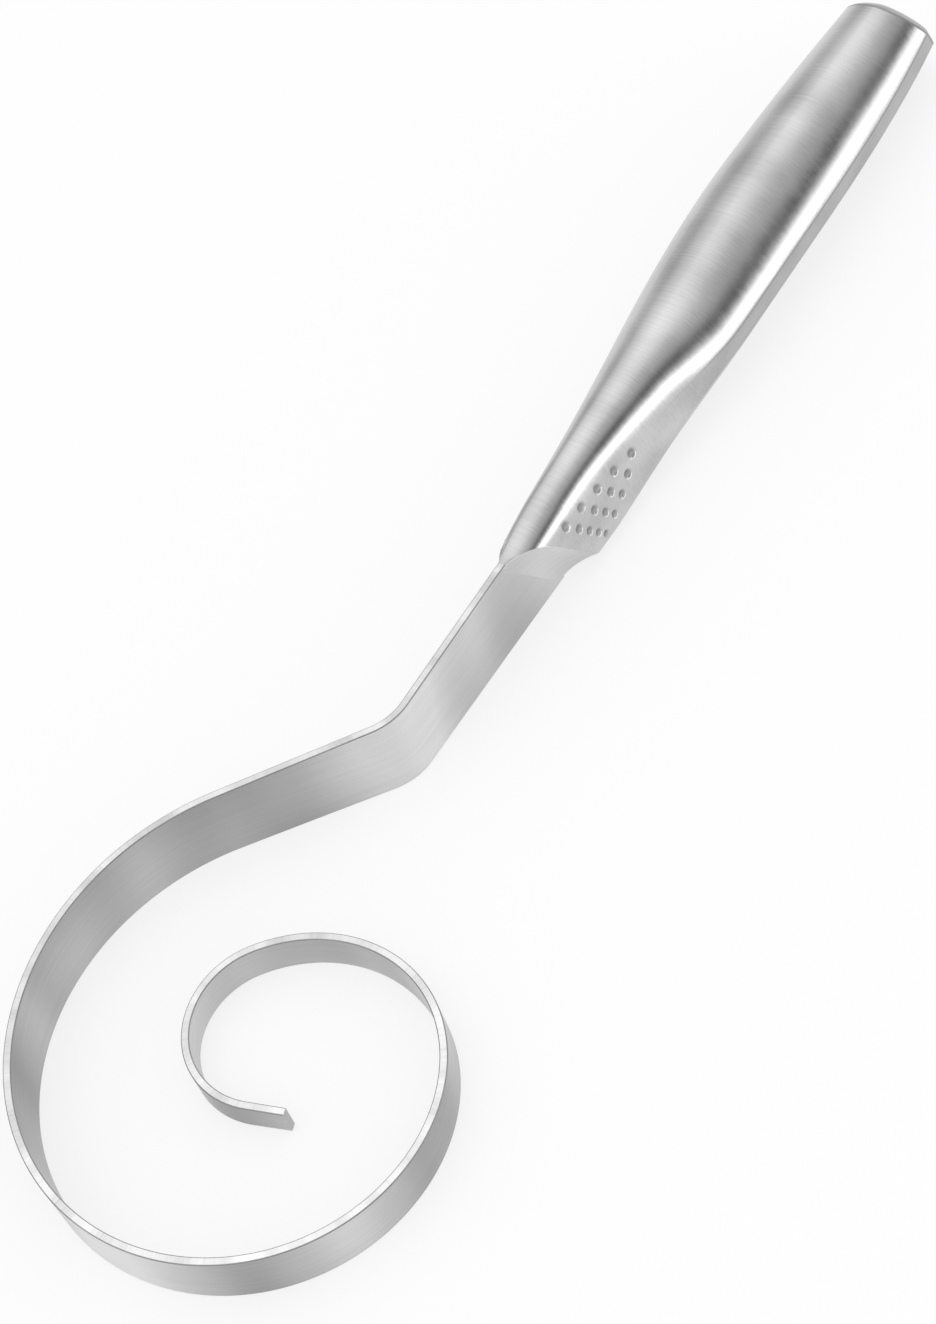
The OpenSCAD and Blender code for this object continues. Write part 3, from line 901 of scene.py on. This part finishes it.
def studio_world():
    world = bpy.data.worlds.new("studio")
    bpy.context.scene.world = world
    world.use_nodes = True
    tree = world.node_tree
    tree.nodes.clear()
    new, link = tree.nodes.new, tree.links.new
    out = new("ShaderNodeOutputWorld")
    sky = new("ShaderNodeBackground")
    sky.inputs["Color"].default_value = (1, 1, 1, 1)
    link(sky.outputs["Background"], out.inputs["Surface"])
    coords = new("ShaderNodeTexCoord")
    split = new("ShaderNodeSeparateXYZ")
    link(coords.outputs["Generated"], split.inputs["Vector"])
    # The arctangent is pi at the thumb side's horizon and 0 at the other. Below the horizon the
    # range's limits hold, where the floor hides the sky in any case
    away = calc(tree, "MULTIPLY", split.outputs["Y"], -1.0)
    angle = calc(tree, "ARCTAN2", split.outputs["Z"], away)
    horizons = [(a - RAMP_START) / RAMP_SPAN for a in (0, 180)]
    ramp = new("ShaderNodeValToRGB")
    ramp.color_ramp.interpolation = "B_SPLINE"
    link(remap(tree, angle, (math.pi, 0.0), horizons), ramp.inputs["Fac"])
    stops = ramp.color_ramp.elements
    while len(stops) > 1:
        stops.remove(stops[-1])
    top = max(value for _, value in STUDIO)
    for i, (a, value) in enumerate(STUDIO):
        position = (a - RAMP_START) / RAMP_SPAN
        stop = stops[0] if i == 0 else stops.new(position)
        stop.position = position
        stop.color = (value / top, value / top, value / top, 1)
    grey = new("ShaderNodeRGBToBW")
    link(ramp.outputs["Color"], grey.inputs["Color"])
    studio = calc(tree, "MULTIPLY", grey.outputs["Val"], top)
    path = new("ShaderNodeLightPath").outputs
    by_metal = between(tree, path["Is Glossy Ray"], PLAIN_SKY, studio)
    link(between(tree, path["Is Camera Ray"], by_metal, CAMERA_SKY), sky.inputs["Strength"])


# Lamps as (name, place, aim, width, height, radiance): a low upright strip at the thumb side,
# and a weak one overhead
LAMPS = (
    ("low_strip", (-0.50, 1.00, 0.155), (-0.05, 0.0, 0.155), 1.6, 0.31, 1.72),
    ("overhead", (0.3, -0.3, 1.6), (-0.05, 0.0, 0.01), 1.5, 1.5, 0.5))


def softbox(name, spot, aim, width, height, radiance):
    """A rectangular lamp whose face looks as bright as radiance."""
    data = bpy.data.lights.new(name, "AREA")
    data.shape = "RECTANGLE"
    data.size = width
    data.size_y = height
    data.energy = radiance * math.pi * width * height
    lamp = bpy.data.objects.new(name, data)
    lamp.location = spot
    lamp.rotation_euler = (Vector(aim) - Vector(spot)).to_track_quat("-Z", "Y").to_euler()
    bpy.context.scene.collection.objects.link(lamp)


# Camera, solved from the outlines of the bar
CAMERA_PLACE = (0.23709, 0.24635, 0.40319)
CAMERA_RIGHT = (-0.5343, 0.8151, -0.2239)
CAMERA_UP = (-0.7374, -0.3199, 0.5949)
CAMERA_LENS = 101.06
SENSOR = 36.0
CLIP_NEAR = 0.01
CLIP_FAR = 20.0


def photo_camera():
    data = bpy.data.cameras.new("camera")
    data.sensor_fit = "HORIZONTAL"
    data.sensor_width = SENSOR
    data.lens = CAMERA_LENS
    data.clip_start = CLIP_NEAR
    data.clip_end = CLIP_FAR
    camera = bpy.data.objects.new("camera", data)
    right = Vector(CAMERA_RIGHT).normalized()
    up = Vector(CAMERA_UP)
    up = (up - right * up.dot(right)).normalized()
    back = right.cross(up)
    turn = Matrix((right, up, back)).transposed()
    camera.matrix_world = Matrix.Translation(CAMERA_PLACE) @ turn.to_4x4()
    bpy.context.scene.collection.objects.link(camera)
    bpy.context.scene.camera = camera


pale_floor()
studio_world()
for lamp in LAMPS:
    softbox(*lamp)
photo_camera()
bpy.context.scene.view_settings.view_transform = "Standard"
